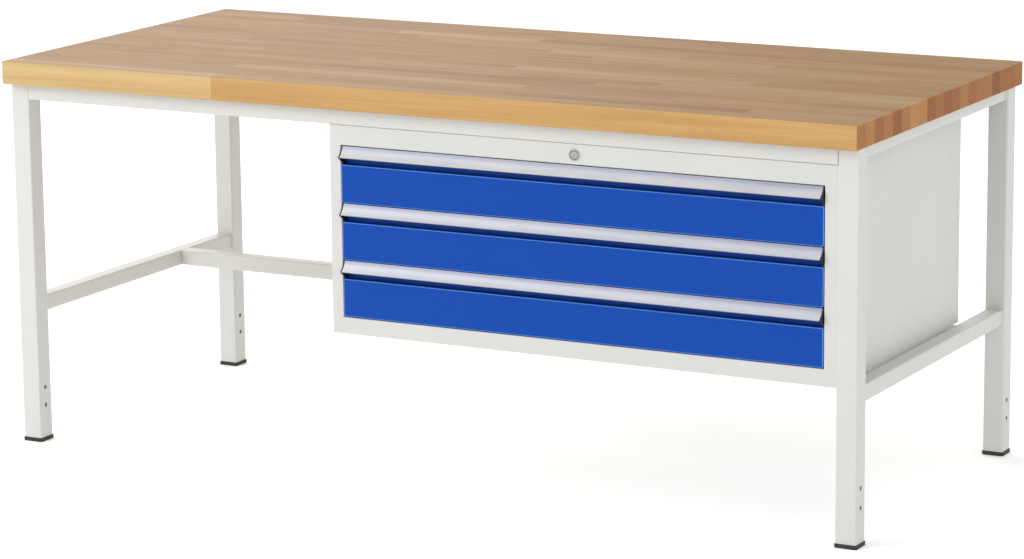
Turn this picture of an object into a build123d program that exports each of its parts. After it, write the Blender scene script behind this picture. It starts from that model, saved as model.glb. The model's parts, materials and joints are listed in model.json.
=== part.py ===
from build123d import *
import os

os.makedirs("parts", exist_ok=True)

# A steel workbench on four telescopic feet, with a beech worktop and a
# three-drawer cabinet hung under its right-hand side.
# Frame: +X to the right, +Y to the back, +Z up, origin on the floor at the
# middle of the worktop. Millimetres.

# ---------------------------------------------------------------- bench
BENCH_W = 2000.0
BENCH_D = 900.0
BENCH_H = 850.0
TOP_T = 50.0
TOP_EDGE_R = 2.0
FRAME_TOP = BENCH_H - TOP_T

# ---------------------------------------------------------------- legs and feet
LEG = 45.0
LEG_WALL = 2.0
TUBE_R = 3.5
LEG_INSET_X = 5.0
LEG_INSET_Y = 25.0
LEG_X = BENCH_W / 2 - LEG_INSET_X - LEG / 2
LEG_Y = BENCH_D / 2 - LEG_INSET_Y - LEG / 2
LEG_BORE = LEG - 2 * LEG_WALL

FOOT_PLATE_H = 8.0
FOOT_PLATE_RIM = 2.0
FOOT_PLATE_CHAMFER = 1.2
MOVING_GAP = 0.3
FIT_GAP = 0.2
LEG_BOTTOM = FOOT_PLATE_H + MOVING_GAP
FOOT_TUBE = 35.0
FOOT_TUBE_L = 330.0
FOOT_PLUG_H = 15.0
FOOT_PLUG_WALL = 3.0
FOOT_PLUG_R = 2.0
GUIDE_H = 50.0
GUIDE_R = 1.8
CLAMP_HEIGHTS = (80.0, 120.0)
CLAMP_R = 5.0
CLAMP_NUT = 16.0
CLAMP_NUT_T = 2.5
CLAMP_NUT_R = 1.0

# ---------------------------------------------------------------- rails
RAIL = 35.0
RAIL_WALL = 2.0
SIDE_RAIL_H = 25.0
LOWER_RAIL_TOP = 323.0
STUB_L = 38.0
CONNECTOR = 30.6
CONNECTOR_L = 118.0
CONNECTOR_R = 2.5
STRETCHER_Y = 182.5
STRETCHER_X = LEG_X - RAIL / 2
CLEAT = 32.0
CLEAT_T = 3.0
CLEAT_INSET = 3.0
CLEAT_HOLE = 0.6 * CLEAT

# ---------------------------------------------------------------- bolts (M8)
THREAD_GAP = 0.05
BREAKTHROUGH = 1.0
SHEET_CUT = 0.1
BOLT_R = 3.9
BOLT_HOLE_R = 4.2
BOLT_AF = 13.0
BOLT_HEAD_H = 5.3
PILOT_R = 3.95
TAPPED_R = BOLT_R + THREAD_GAP
WALL_BORE = RAIL_WALL + 0.5

# ---------------------------------------------------------------- cabinet
CAB_W = 1142.0
CAB_X1 = LEG_X - LEG / 2 - 0.5
CAB_X0 = CAB_X1 - CAB_W
CAB_MID = (CAB_X0 + CAB_X1) / 2
CAB_FRONT = -LEG_Y - LEG / 2
CAB_DEPTH = 650.0
CAB_BACK = CAB_FRONT + CAB_DEPTH
CAB_Z0 = LOWER_RAIL_TOP
CAB_Z1 = FRAME_TOP - RAIL
SHEET = 1.5
FRONT_SHEET = 2.0
STILE = 26.0
SILL_H = 35.0
FASCIA_H = 42.0
RETURN_D = 15.0
OPEN_X0 = CAB_X0 + STILE
OPEN_X1 = CAB_X1 - STILE
OPEN_Z0 = CAB_Z0 + SILL_H
OPEN_Z1 = CAB_Z1 - FASCIA_H

# ---------------------------------------------------------------- drawers
DRAWERS = 3
DRAWER_GAP = 2.0
SIDE_GAP = 1.5
FRONT_H = (OPEN_Z1 - OPEN_Z0 - DRAWER_GAP * (DRAWERS + 1)) / DRAWERS
FRONT_W = OPEN_X1 - OPEN_X0 - 2 * SIDE_GAP
FACE_H = 80.0
FRONT_D = 20.0
FACE_CORNER_R = 4.0
FACE_EDGE_R = 2.5
RECESS_D = 18.0
GRIP_T = 2.0
GRIP_OUT = 14.0
GRIP_H = 22.0
CAP_T = 3.0
CAP_TIP = 1.5
CAP_TIP_DROP = 2.0
CAP_HEEL = 6.0
CAP_TOE = 1.0
SLIDE_SPACE = 16.0
BOX_L = 560.0
BOX_H = 92.0
BOX_LIFT = 7.0
BOX_SHEET = 1.2
BOX_RIM = 8.0
BOX_CORNER_R = 3.0

# ---------------------------------------------------------------- drawer slides
SLIDE_L = 550.0
SLIDE_MID_L = 500.0
SLIDE_Y0 = CAB_FRONT + 35.0
SLIDE_Z = 40.0
SLIDE_SHEET = 1.2
SLIDE_T = 13.0
POST_D = 30.0
POST_INSET = 42.0
POST_PITCH = 488.0

# ---------------------------------------------------------------- central lock
LOCK_X = CAB_MID
LOCK_Z = OPEN_Z1 + FASCIA_H / 2 - 1.0
LOCK_ROSETTE_R = 12.0
LOCK_BODY_R = 9.0
LOCK_PLUG_R = 6.0
LOCK_RUNNING = 0.05
LOCK_DEPTH = 25.0
LOCK_TRAVEL = 8.0
CAM_T = 2.5
CAM_PIN_R = 2.0
ROD_H = 16.0
ROD_T = 2.0
BAR_W = 10.0
HOOK_H = 10.0
HOOK_RISE = 68.0

LEG_CORNERS = {
    "front_left": (-LEG_X, -LEG_Y),
    "front_right": (LEG_X, -LEG_Y),
    "rear_left": (-LEG_X, LEG_Y),
    "rear_right": (LEG_X, LEG_Y),
}


def save(builder, name):
    """Label a finished piece and write it as its own STEP file."""
    builder.part.label = name
    export_step(builder.part, f"parts/{name}.step")


def block(x0, x1, y0, y1, z0, z1, mode=Mode.ADD):
    """A rectangular block between two corners, in the part being built."""
    with Locations(((x0 + x1) / 2, (y0 + y1) / 2, (z0 + z1) / 2)):
        Box(x1 - x0, y1 - y0, z1 - z0, mode=mode)


def tube(start, width, height, length, wall=RAIL_WALL, corner=TUBE_R):
    """A rectangular steel tube with rounded corners, extruded from a plane."""
    with BuildSketch(start) as profile:
        RectangleRounded(width, height, corner)
        RectangleRounded(width - 2 * wall, height - 2 * wall, corner - wall, mode=Mode.SUBTRACT)
    extrude(profile.sketch, amount=length)


def along_x(x, y, z):
    """A plane facing +X, whose width runs along Y and whose height runs along Z."""
    return Plane(origin=(x, y, z), x_dir=(0, 1, 0), z_dir=(1, 0, 0))


def along_y(x, y, z):
    """A plane facing +Y, whose width runs along X and whose height runs along Z."""
    return Plane(origin=(x, y, z), x_dir=(-1, 0, 0), z_dir=(0, 1, 0))


def bored(plane, radius, depth):
    """A round hole cut from a plane, against the plane's normal."""
    with Locations(plane):
        Hole(radius, depth=depth)


def hex_bolt(plane, shank):
    """A hexagon-head bolt: the head stands on the plane and the shank goes into it."""
    with BuildSketch(plane) as head:
        RegularPolygon(BOLT_AF / 2, 6, major_radius=False)
    extrude(head.sketch, amount=BOLT_HEAD_H)
    with BuildSketch(plane) as core:
        Circle(BOLT_R)
    extrude(core.sketch, amount=-shank)


# ================================================================ worktop screws
# Their places are needed by the worktop and by the rails that they pass through.
SCREW_X = LEG_X
SCREW_Y = 200.0
REAR_SCREWS_X = (-600.0, 0.0, 600.0)
FRONT_SCREWS_X = (-750.0, -400.0)
ACCESS_R = 9.0
RAIL_Y = LEG_Y + LEG / 2 - RAIL / 2
SCREW_IN_WOOD = 35.0
SCREW_TIP_GAP = 2.0

side_screws = [(sx * SCREW_X, sy * SCREW_Y) for sx in (-1, 1) for sy in (-1, 1)]
rail_screws = [(x, RAIL_Y) for x in REAR_SCREWS_X] + [(x, -RAIL_Y) for x in FRONT_SCREWS_X]

with BuildPart() as worktop:
    block(-BENCH_W / 2, BENCH_W / 2, -BENCH_D / 2, BENCH_D / 2, FRAME_TOP, BENCH_H)
    fillet(worktop.edges(), radius=TOP_EDGE_R)
    for x, y in side_screws + rail_screws:
        bored(Plane(origin=(x, y, FRAME_TOP), z_dir=(0, 0, -1)), PILOT_R, SCREW_IN_WOOD)
save(worktop, "worktop")

# The heads bear on the upper wall inside each tube.
with BuildPart() as worktop_screws:
    for x, y in side_screws + rail_screws:
        under = Plane(origin=(x, y, FRAME_TOP - RAIL_WALL), z_dir=(0, 0, -1))
        hex_bolt(under, RAIL_WALL + SCREW_IN_WOOD - SCREW_TIP_GAP)
save(worktop_screws, "worktop_screws")


def screw_holes(x, y, tube_height):
    """The hole for one worktop screw, with a wider one below it to pass the head."""
    bored(Plane(origin=(x, y, FRAME_TOP)), BOLT_HOLE_R, WALL_BORE)
    bored(Plane(origin=(x, y, FRAME_TOP - tube_height), z_dir=(0, 0, -1)), ACCESS_R, WALL_BORE)


# ================================================================ legs and feet
FOOT_PLATE = LEG + 2 * FOOT_PLATE_RIM
FOOT_PLUG = FOOT_TUBE - 2 * RAIL_WALL - FIT_GAP
PLUG_BORE = FOOT_PLUG - 2 * FOOT_PLUG_WALL
for corner, (x, y) in LEG_CORNERS.items():
    with BuildPart() as leg:
        tube(Plane.XY.offset(LEG_BOTTOM).move(Location((x, y, 0))), LEG, LEG, FRAME_TOP - LEG_BOTTOM,
             LEG_WALL)
        for z in CLAMP_HEIGHTS:
            outside = Plane(origin=(x + LEG / 2, y, z), z_dir=(1, 0, 0))
            bored(outside, CLAMP_R + FIT_GAP, LEG_WALL + BREAKTHROUGH)
    save(leg, f"leg_{corner}")

    with BuildPart() as foot_tube:
        tube(Plane.XY.offset(FOOT_PLATE_H).move(Location((x, y, 0))), FOOT_TUBE, FOOT_TUBE, FOOT_TUBE_L)
    save(foot_tube, f"foot_tube_{corner}")

    with BuildPart() as foot_cap:
        with BuildSketch(Plane.XY.move(Location((x, y, 0)))):
            RectangleRounded(FOOT_PLATE, FOOT_PLATE, TUBE_R + FOOT_PLATE_RIM)
        extrude(amount=FOOT_PLATE_H)
        chamfer(foot_cap.faces().sort_by(Axis.Z)[-1].edges(), length=FOOT_PLATE_CHAMFER)
        with BuildSketch(Plane.XY.offset(FOOT_PLATE_H).move(Location((x, y, 0)))):
            RectangleRounded(FOOT_PLUG, FOOT_PLUG, FOOT_PLUG_R)
            RectangleRounded(PLUG_BORE, PLUG_BORE, FOOT_PLUG_R / 2, mode=Mode.SUBTRACT)
        extrude(amount=FOOT_PLUG_H)
    save(foot_cap, f"foot_cap_{corner}")

guide_outer = LEG_BORE - FIT_GAP / 2
guide_inner = FOOT_TUBE + 2 * MOVING_GAP
with BuildPart() as foot_guides:
    for x, y in LEG_CORNERS.values():
        with BuildSketch(Plane.XY.offset(LEG_BOTTOM).move(Location((x, y, 0)))):
            RectangleRounded(guide_outer, guide_outer, GUIDE_R)
            RectangleRounded(guide_inner, guide_inner, TUBE_R, mode=Mode.SUBTRACT)
        extrude(amount=GUIDE_H)
save(foot_guides, "foot_guides")

with BuildPart() as foot_clamp_nuts:
    for x, y in LEG_CORNERS.values():
        for z in CLAMP_HEIGHTS:
            with BuildSketch(along_x(x + LEG_BORE / 2 - CLAMP_NUT_T, y, z)):
                RectangleRounded(CLAMP_NUT, CLAMP_NUT, CLAMP_NUT_R)
                Circle(CLAMP_R, mode=Mode.SUBTRACT)
            extrude(amount=CLAMP_NUT_T)
save(foot_clamp_nuts, "foot_clamp_nuts")

SCREW_SINK = 0.6
SOCKET_AF = 5.0
SOCKET_DEPTH = 2.5
SCREW_PROUD = 0.1
with BuildPart() as foot_clamp_screws:
    for x, y in LEG_CORNERS.values():
        for z in CLAMP_HEIGHTS:
            head = along_x(x + LEG / 2 - SCREW_SINK, y, z)
            with BuildSketch(head):
                Circle(CLAMP_R - THREAD_GAP)
            extrude(amount=-(LEG_WALL + CLAMP_NUT_T - SCREW_SINK + SCREW_PROUD))
            with BuildSketch(head):
                RegularPolygon(SOCKET_AF / 2, 6, major_radius=False)
            extrude(amount=-SOCKET_DEPTH, mode=Mode.SUBTRACT)
save(foot_clamp_screws, "foot_clamp_screws")

# ================================================================ side frames
SPAN_Y = 2 * LEG_Y - LEG
with BuildPart() as upper_side_rails:
    for side in (-1, 1):
        tube(along_y(side * LEG_X, -SPAN_Y / 2, FRAME_TOP - SIDE_RAIL_H / 2), RAIL, SIDE_RAIL_H, SPAN_Y)
    for x, y in side_screws:
        screw_holes(x, y, SIDE_RAIL_H)
save(upper_side_rails, "upper_side_rails")

LOWER_RAIL_Z = LOWER_RAIL_TOP - RAIL / 2
cleat_hole_y = STRETCHER_Y + RAIL / 2 + CLEAT_HOLE
with BuildPart() as lower_side_rails:
    for side in (-1, 1):
        tube(along_y(side * LEG_X, -SPAN_Y / 2, LOWER_RAIL_Z), RAIL, RAIL, SPAN_Y)
        inner_face = Plane(origin=(side * STRETCHER_X, cleat_hole_y, LOWER_RAIL_Z), z_dir=(-side, 0, 0))
        bored(inner_face, TAPPED_R, RAIL_WALL + BREAKTHROUGH)
save(lower_side_rails, "lower_side_rails")

# ================================================================ long rails
# Short stubs are welded to the legs; the long rails meet them end to end, and a
# square connector tube bridges each joint from inside.
LEG_INNER_X = LEG_X - LEG / 2
RAIL_X = LEG_INNER_X - STUB_L
RAIL_Z = FRAME_TOP - RAIL / 2
RAIL_BORE = RAIL - 2 * RAIL_WALL
CONNECTOR_X0 = LEG_INNER_X - CONNECTOR_L
CABINET_BOLTS_X = (-80.0, CAB_MID, 780.0)
CONNECTOR_BOLT_IN = 25.0
connector_bolts_x = (LEG_INNER_X - STUB_L / 2, CONNECTOR_X0 + CONNECTOR_BOLT_IN)


def rail_bolt_planes(x, row):
    """The plane of one rail bolt, on the rail's hidden inner face."""
    return Plane(origin=(x, row * (RAIL_Y - RAIL / 2), RAIL_Z), z_dir=(0, -row, 0))


for name, row in (("front_rail", -1), ("rear_rail", 1)):
    with BuildPart() as rail:
        tube(along_x(-RAIL_X, row * RAIL_Y, RAIL_Z), RAIL, RAIL, 2 * RAIL_X)
        for side in (-1, 1):
            bored(rail_bolt_planes(side * connector_bolts_x[1], row), BOLT_HOLE_R, WALL_BORE)
        for x, y in rail_screws:
            if y * row > 0:
                screw_holes(x, y, RAIL)
        if row < 0:
            for x in CABINET_BOLTS_X:
                under = Plane(origin=(x, row * RAIL_Y, FRAME_TOP - RAIL), z_dir=(0, 0, -1))
                bored(under, TAPPED_R, WALL_BORE)
    save(rail, name)

with BuildPart() as rail_stubs:
    for row in (-1, 1):
        for side in (-1, 1):
            start = min(side * LEG_INNER_X, side * RAIL_X)
            tube(along_x(start, row * RAIL_Y, RAIL_Z), RAIL, RAIL, STUB_L)
            bored(rail_bolt_planes(side * connector_bolts_x[0], row), BOLT_HOLE_R, WALL_BORE)
save(rail_stubs, "rail_stubs")

connector_gap = (RAIL_BORE - CONNECTOR) / 2
with BuildPart() as rail_connectors:
    for row in (-1, 1):
        for side in (-1, 1):
            start = min(side * LEG_INNER_X, side * CONNECTOR_X0)
            tube(along_x(start, row * RAIL_Y, RAIL_Z), CONNECTOR, CONNECTOR, CONNECTOR_L, corner=CONNECTOR_R)
            for x in connector_bolts_x:
                face = rail_bolt_planes(side * x, row).offset(-RAIL_WALL - connector_gap)
                bored(face, TAPPED_R, WALL_BORE)
save(rail_connectors, "rail_connectors")

# ================================================================ stretcher
STRETCHER_BACK = STRETCHER_Y + RAIL / 2
cleat_bolt_x = STRETCHER_X - CLEAT_HOLE
STRETCHER_BOLTS_X = CABINET_BOLTS_X
with BuildPart() as stretcher:
    tube(along_x(-STRETCHER_X, STRETCHER_Y, LOWER_RAIL_Z), RAIL, RAIL, 2 * STRETCHER_X)
    for side in (-1, 1):
        rear_face = Plane(origin=(side * cleat_bolt_x, STRETCHER_BACK, LOWER_RAIL_Z), z_dir=(0, 1, 0))
        bored(rear_face, TAPPED_R, WALL_BORE)
    for x in STRETCHER_BOLTS_X:
        bored(Plane(origin=(x, STRETCHER_Y, LOWER_RAIL_TOP)), TAPPED_R, WALL_BORE)
save(stretcher, "stretcher")

with BuildPart() as stretcher_cleats:
    for side in (-1, 1):
        inner_x = side * STRETCHER_X
        tip_x = inner_x - side * CLEAT
        leaf_x = inner_x - side * CLEAT_T
        z0 = LOWER_RAIL_TOP - RAIL + CLEAT_INSET
        z1 = LOWER_RAIL_TOP - CLEAT_INSET
        block(min(inner_x, tip_x), max(inner_x, tip_x), STRETCHER_BACK, STRETCHER_BACK + CLEAT_T, z0, z1)
        block(min(inner_x, leaf_x), max(inner_x, leaf_x), STRETCHER_BACK, STRETCHER_BACK + CLEAT, z0, z1)
        rear_hole = (side * cleat_bolt_x, STRETCHER_BACK + CLEAT_T, LOWER_RAIL_Z)
        rear_leaf = Plane(origin=rear_hole, z_dir=(0, 1, 0))
        side_leaf = Plane(origin=(leaf_x, cleat_hole_y, LOWER_RAIL_Z), z_dir=(-side, 0, 0))
        bored(rear_leaf, BOLT_HOLE_R, CLEAT_T + SHEET_CUT)
        bored(side_leaf, BOLT_HOLE_R, CLEAT_T + SHEET_CUT)
save(stretcher_cleats, "stretcher_cleats")

BOLT_BITE = 10.0
with BuildPart() as frame_bolts:
    for row in (-1, 1):
        for side in (-1, 1):
            for x in connector_bolts_x:
                hex_bolt(rail_bolt_planes(side * x, row), BOLT_BITE)
    for side in (-1, 1):
        leaf_x = side * (STRETCHER_X - CLEAT_T)
        hex_bolt(Plane(origin=(leaf_x, cleat_hole_y, LOWER_RAIL_Z), z_dir=(-side, 0, 0)), BOLT_BITE)
        rear = (side * cleat_bolt_x, STRETCHER_BACK + CLEAT_T, LOWER_RAIL_Z)
        hex_bolt(Plane(origin=rear, z_dir=(0, 1, 0)), BOLT_BITE)
    for x in CABINET_BOLTS_X:
        hex_bolt(Plane(origin=(x, -RAIL_Y, CAB_Z1 - SHEET), z_dir=(0, 0, -1)), BOLT_BITE)
        hex_bolt(Plane(origin=(x, STRETCHER_Y, CAB_Z0 + SHEET)), BOLT_BITE)
save(frame_bolts, "frame_bolts")

# ================================================================ cabinet shell
INNER_X0 = CAB_X0 + SHEET
INNER_X1 = CAB_X1 - SHEET
SHELL_FRONT = CAB_FRONT + FRONT_SHEET
SHELL_BACK = CAB_BACK - SHEET

with BuildPart() as cabinet_side_left:
    block(CAB_X0, INNER_X0, SHELL_FRONT, SHELL_BACK, CAB_Z0, CAB_Z1)
save(cabinet_side_left, "cabinet_side_left")

with BuildPart() as cabinet_side_right:
    block(INNER_X1, CAB_X1, SHELL_FRONT, SHELL_BACK, CAB_Z0, CAB_Z1)
save(cabinet_side_right, "cabinet_side_right")

with BuildPart() as cabinet_back:
    block(CAB_X0, CAB_X1, SHELL_BACK, CAB_BACK, CAB_Z0, CAB_Z1)
save(cabinet_back, "cabinet_back")

with BuildPart() as cabinet_bottom:
    block(INNER_X0, INNER_X1, SHELL_FRONT, SHELL_BACK, CAB_Z0, CAB_Z0 + SHEET)
    for x in STRETCHER_BOLTS_X:
        bored(Plane(origin=(x, STRETCHER_Y, CAB_Z0 + SHEET)), BOLT_HOLE_R, SHEET + SHEET_CUT)
save(cabinet_bottom, "cabinet_bottom")

with BuildPart() as cabinet_top:
    block(INNER_X0, INNER_X1, SHELL_FRONT, SHELL_BACK, CAB_Z1 - SHEET, CAB_Z1)
    for x in CABINET_BOLTS_X:
        bored(Plane(origin=(x, -RAIL_Y, CAB_Z1)), BOLT_HOLE_R, SHEET + SHEET_CUT)
save(cabinet_top, "cabinet_top")

# ================================================================ cabinet front frame
# Folded strips round the drawer opening: a face leaf with a return at its inner edge.
HOOK_Y = CAB_FRONT + 12.0
HOOK_ROOM_Y = 3.0
HOOK_ROOM_Z = 2.0
drawer_z = [OPEN_Z0 + DRAWER_GAP + row * (FRONT_H + DRAWER_GAP) for row in range(DRAWERS)]
hook_z = [z + HOOK_RISE for z in drawer_z]


def hook_slots(x0, x1, heights):
    """Slots that the locking hooks pass through."""
    half = HOOK_H / 2 + HOOK_ROOM_Z
    for z in heights:
        block(x0 - BREAKTHROUGH, x1 + BREAKTHROUGH, HOOK_Y - HOOK_ROOM_Y, HOOK_Y + HOOK_ROOM_Y,
              z - half, z + half, Mode.SUBTRACT)


with BuildPart() as cabinet_stiles:
    block(CAB_X0, OPEN_X0, CAB_FRONT, SHELL_FRONT, CAB_Z0, CAB_Z1)
    block(OPEN_X0 - SHEET, OPEN_X0, SHELL_FRONT, SHELL_FRONT + RETURN_D, OPEN_Z0, OPEN_Z1)
    hook_slots(OPEN_X0 - SHEET, OPEN_X0, hook_z)
    block(OPEN_X1, CAB_X1, CAB_FRONT, SHELL_FRONT, CAB_Z0, CAB_Z1)
    block(OPEN_X1, OPEN_X1 + SHEET, SHELL_FRONT, SHELL_FRONT + RETURN_D, OPEN_Z0, OPEN_Z1)
save(cabinet_stiles, "cabinet_stiles")

with BuildPart() as cabinet_sill:
    block(OPEN_X0, OPEN_X1, CAB_FRONT, SHELL_FRONT, CAB_Z0, OPEN_Z0)
    block(OPEN_X0, OPEN_X1, SHELL_FRONT, SHELL_FRONT + RETURN_D, OPEN_Z0 - SHEET, OPEN_Z0)
save(cabinet_sill, "cabinet_sill")

with BuildPart() as cabinet_fascia:
    block(OPEN_X0, OPEN_X1, CAB_FRONT, SHELL_FRONT, OPEN_Z1, CAB_Z1)
    block(OPEN_X0, OPEN_X1, SHELL_FRONT, SHELL_FRONT + RETURN_D, OPEN_Z1, OPEN_Z1 + SHEET)
    lock_hole = Plane(origin=(LOCK_X, CAB_FRONT, LOCK_Z), z_dir=(0, -1, 0))
    bored(lock_hole, LOCK_BODY_R + LOCK_RUNNING, FRONT_SHEET + SHEET_CUT)
save(cabinet_fascia, "cabinet_fascia")

# ================================================================ slide posts
# Channel posts carry the fixed slide members, level with the sides of the opening.
SLIDE_X0 = OPEN_X0 + SLIDE_SPACE - SLIDE_T
POST_FRONTS = (CAB_FRONT + POST_INSET, CAB_FRONT + POST_INSET + POST_PITCH)


def mirrored_x(x):
    """The same distance from the other side of the cabinet."""
    return 2 * CAB_MID - x


with BuildPart() as cabinet_posts:
    for side in (-1, 1):
        for y in POST_FRONTS:
            wall_x = INNER_X0 if side < 0 else INNER_X1
            web_x = SLIDE_X0 if side < 0 else mirrored_x(SLIDE_X0)
            low, high = min(wall_x, web_x), max(wall_x, web_x)
            z0, z1 = CAB_Z0 + SHEET, CAB_Z1 - SHEET
            block(low, high, y, y + POST_D, z0, z1)
            core_low = low if side < 0 else low + SHEET
            core_high = high - SHEET if side < 0 else high
            block(core_low, core_high, y + SHEET, y + POST_D - SHEET, z0, z1, Mode.SUBTRACT)
save(cabinet_posts, "cabinet_posts")

# ================================================================ drawer slides
# Three nested channels a side: fixed to the posts, middle, and on the drawer.
FIXED_HALF = 22.5
FIXED_DEPTH = 10.0
MIDDLE_HALF = 19.5
INNER_HALF = 15.5
MIDDLE_X = 2.2
MIDDLE_DEPTH = 8.8
MIDDLE_SETBACK = 2.0
INNER_DEPTH = 8.4
INNER_SETBACK = 3.0


def channel(side, near, far, web, y0, length, z, half):
    """One slide channel. near and far are its distances from the post; web names the web's side."""
    def place(distance):
        x = SLIDE_X0 + distance
        return x if side < 0 else mirrored_x(x)

    def leaf(d0, d1, za, zb):
        xa, xb = place(d0), place(d1)
        block(min(xa, xb), max(xa, xb), y0, y0 + length, za, zb)

    web0 = near if web == "near" else far - SLIDE_SHEET
    leaf(web0, web0 + SLIDE_SHEET, z - half, z + half)
    leaf(near, far, z - half, z - half + SLIDE_SHEET)
    leaf(near, far, z + half - SLIDE_SHEET, z + half)


with BuildPart() as slide_fixed:
    for z in drawer_z:
        for side in (-1, 1):
            channel(side, 0.0, FIXED_DEPTH, "near", SLIDE_Y0, SLIDE_L, z + SLIDE_Z, FIXED_HALF)
save(slide_fixed, "slide_fixed")

# ================================================================ drawers, 1 at the top
GRIP_BACK = CAB_FRONT + RECESS_D
GRIP_EDGE_Y = CAB_FRONT + 2.0
LIP_Y = CAB_FRONT - GRIP_OUT
LIP_Z = FRONT_H - GRIP_H
FRONT_X0 = OPEN_X0 + SIDE_GAP
FRONT_X1 = OPEN_X1 - SIDE_GAP
WALL_H = FRONT_H - GRIP_T
BELLY_Y = CAB_FRONT - 4.2
BELLY_DROP = 12.5
BELLY_LEAN = 0.45
LIP_LEAN = 0.75


def flare(z0, inset):
    """The grip's curved outer line from its top edge to its lip, moved in by inset."""
    top = (GRIP_EDGE_Y + inset, z0 + FRONT_H - inset)
    middle = (BELLY_Y + inset, z0 + FRONT_H - BELLY_DROP - inset * BELLY_LEAN)
    lip = (LIP_Y + inset * BELLY_LEAN, z0 + LIP_Z - inset * LIP_LEAN)
    return ThreePointArc(top, middle, lip)


for number in range(1, DRAWERS + 1):
    z0 = drawer_z[DRAWERS - number]

    with BuildPart() as drawer_front:
        block(FRONT_X0, FRONT_X1, CAB_FRONT, CAB_FRONT + FRONT_D, z0, z0 + FACE_H)
        fillet(drawer_front.edges().filter_by(Axis.Y).group_by(Axis.Z)[0], radius=FACE_CORNER_R)
        fillet(drawer_front.faces().sort_by(Axis.Y)[0].edges(), radius=FACE_EDGE_R)
        block(FRONT_X0 + SHEET, FRONT_X1 - SHEET, CAB_FRONT + SHEET, CAB_FRONT + FRONT_D,
              z0 + SHEET, z0 + FACE_H - SHEET, Mode.SUBTRACT)
        block(FRONT_X0, FRONT_X1, GRIP_BACK - SHEET, GRIP_BACK, z0 + FACE_H - SHEET, z0 + WALL_H)
        hook_slots(FRONT_X0, FRONT_X0 + SHEET, [z0 + HOOK_RISE])
    save(drawer_front, f"drawer_front_{number}")

    with BuildPart() as drawer_grip:
        with BuildSketch(Plane(origin=(FRONT_X0 + CAP_T, 0, 0), x_dir=(0, 1, 0), z_dir=(1, 0, 0))):
            with BuildLine():
                outer = flare(z0, 0)
                inner = flare(z0, GRIP_T)
                Line(outer @ 1, inner @ 1)
                Polyline(
                    inner @ 0,
                    (GRIP_BACK - SHEET - GRIP_T, z0 + WALL_H),
                    (GRIP_BACK - SHEET - GRIP_T, z0 + LIP_Z),
                    (GRIP_BACK - SHEET, z0 + LIP_Z),
                    (GRIP_BACK - SHEET, z0 + WALL_H),
                    (GRIP_BACK, z0 + WALL_H),
                    (GRIP_BACK, z0 + FRONT_H),
                    outer @ 0,
                )
            make_face()
        extrude(amount=FRONT_W - 2 * CAP_T)
    save(drawer_grip, f"drawer_grip_{number}")

    with BuildPart() as drawer_grip_caps:
        for start in (FRONT_X0, FRONT_X1 - CAP_T):
            with BuildSketch(Plane(origin=(start, 0, 0), x_dir=(0, 1, 0), z_dir=(1, 0, 0))):
                with BuildLine():
                    outer = flare(z0, 0)
                    Polyline(
                        outer @ 1,
                        (LIP_Y + CAP_TIP, z0 + LIP_Z - CAP_TIP_DROP),
                        (CAB_FRONT, z0 + FACE_H + CAP_HEEL),
                        (CAB_FRONT + CAP_TOE, z0 + FACE_H),
                        (GRIP_BACK - SHEET, z0 + FACE_H),
                        (GRIP_BACK - SHEET, z0 + WALL_H),
                        (GRIP_BACK, z0 + WALL_H),
                        (GRIP_BACK, z0 + FRONT_H),
                        outer @ 0,
                    )
                make_face()
            extrude(amount=CAP_T)
    save(drawer_grip_caps, f"drawer_grip_caps_{number}")

    box_x0 = OPEN_X0 + SLIDE_SPACE
    box_x1 = OPEN_X1 - SLIDE_SPACE
    box_y0 = CAB_FRONT + FRONT_D
    box_y1 = box_y0 + BOX_L
    box_z0 = z0 + BOX_LIFT
    box_z1 = box_z0 + BOX_H
    with BuildPart() as drawer_box:
        block(box_x0, box_x1, box_y0, box_y1, box_z0, box_z1)
        fillet(drawer_box.edges().filter_by(Axis.Z).group_by(Axis.Y)[-1], radius=BOX_CORNER_R)
        block(box_x0 + BOX_SHEET, box_x1 - BOX_SHEET, box_y0 + BOX_SHEET, box_y1 - BOX_SHEET,
              box_z0 + BOX_SHEET, box_z1 - BOX_SHEET, Mode.SUBTRACT)
        block(box_x0 + BOX_RIM, box_x1 - BOX_RIM, box_y0 + BOX_RIM, box_y1 - BOX_RIM,
              box_z1 - 2 * BOX_SHEET, box_z1, Mode.SUBTRACT)
    save(drawer_box, f"drawer_box_{number}")

    with BuildPart() as slide_middle:
        for side in (-1, 1):
            channel(side, MIDDLE_X, MIDDLE_X + MIDDLE_DEPTH, "near", SLIDE_Y0 + MIDDLE_SETBACK, SLIDE_MID_L,
                    z0 + SLIDE_Z, MIDDLE_HALF)
    save(slide_middle, f"slide_middle_{number}")

    with BuildPart() as slide_inner:
        for side in (-1, 1):
            channel(side, SLIDE_T - INNER_DEPTH, SLIDE_T, "far", box_y0 + INNER_SETBACK, SLIDE_L,
                    z0 + SLIDE_Z, INNER_HALF)
    save(slide_inner, f"slide_inner_{number}")

# ================================================================ central lock
# A quarter turn of the key turns the cam. Its pin pushes the rod and the locking bar
# sideways, and the bar's hooks enter the slots in the drawer fronts.
lock_face = Plane(origin=(LOCK_X, CAB_FRONT, LOCK_Z), x_dir=(1, 0, 0), z_dir=(0, -1, 0))
ROSETTE_T = 2.0
ROSETTE_CHAMFER = 1.0
PLUG_FACE = ROSETTE_T - 0.4
PLUG_END = LOCK_DEPTH + 0.3

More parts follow.
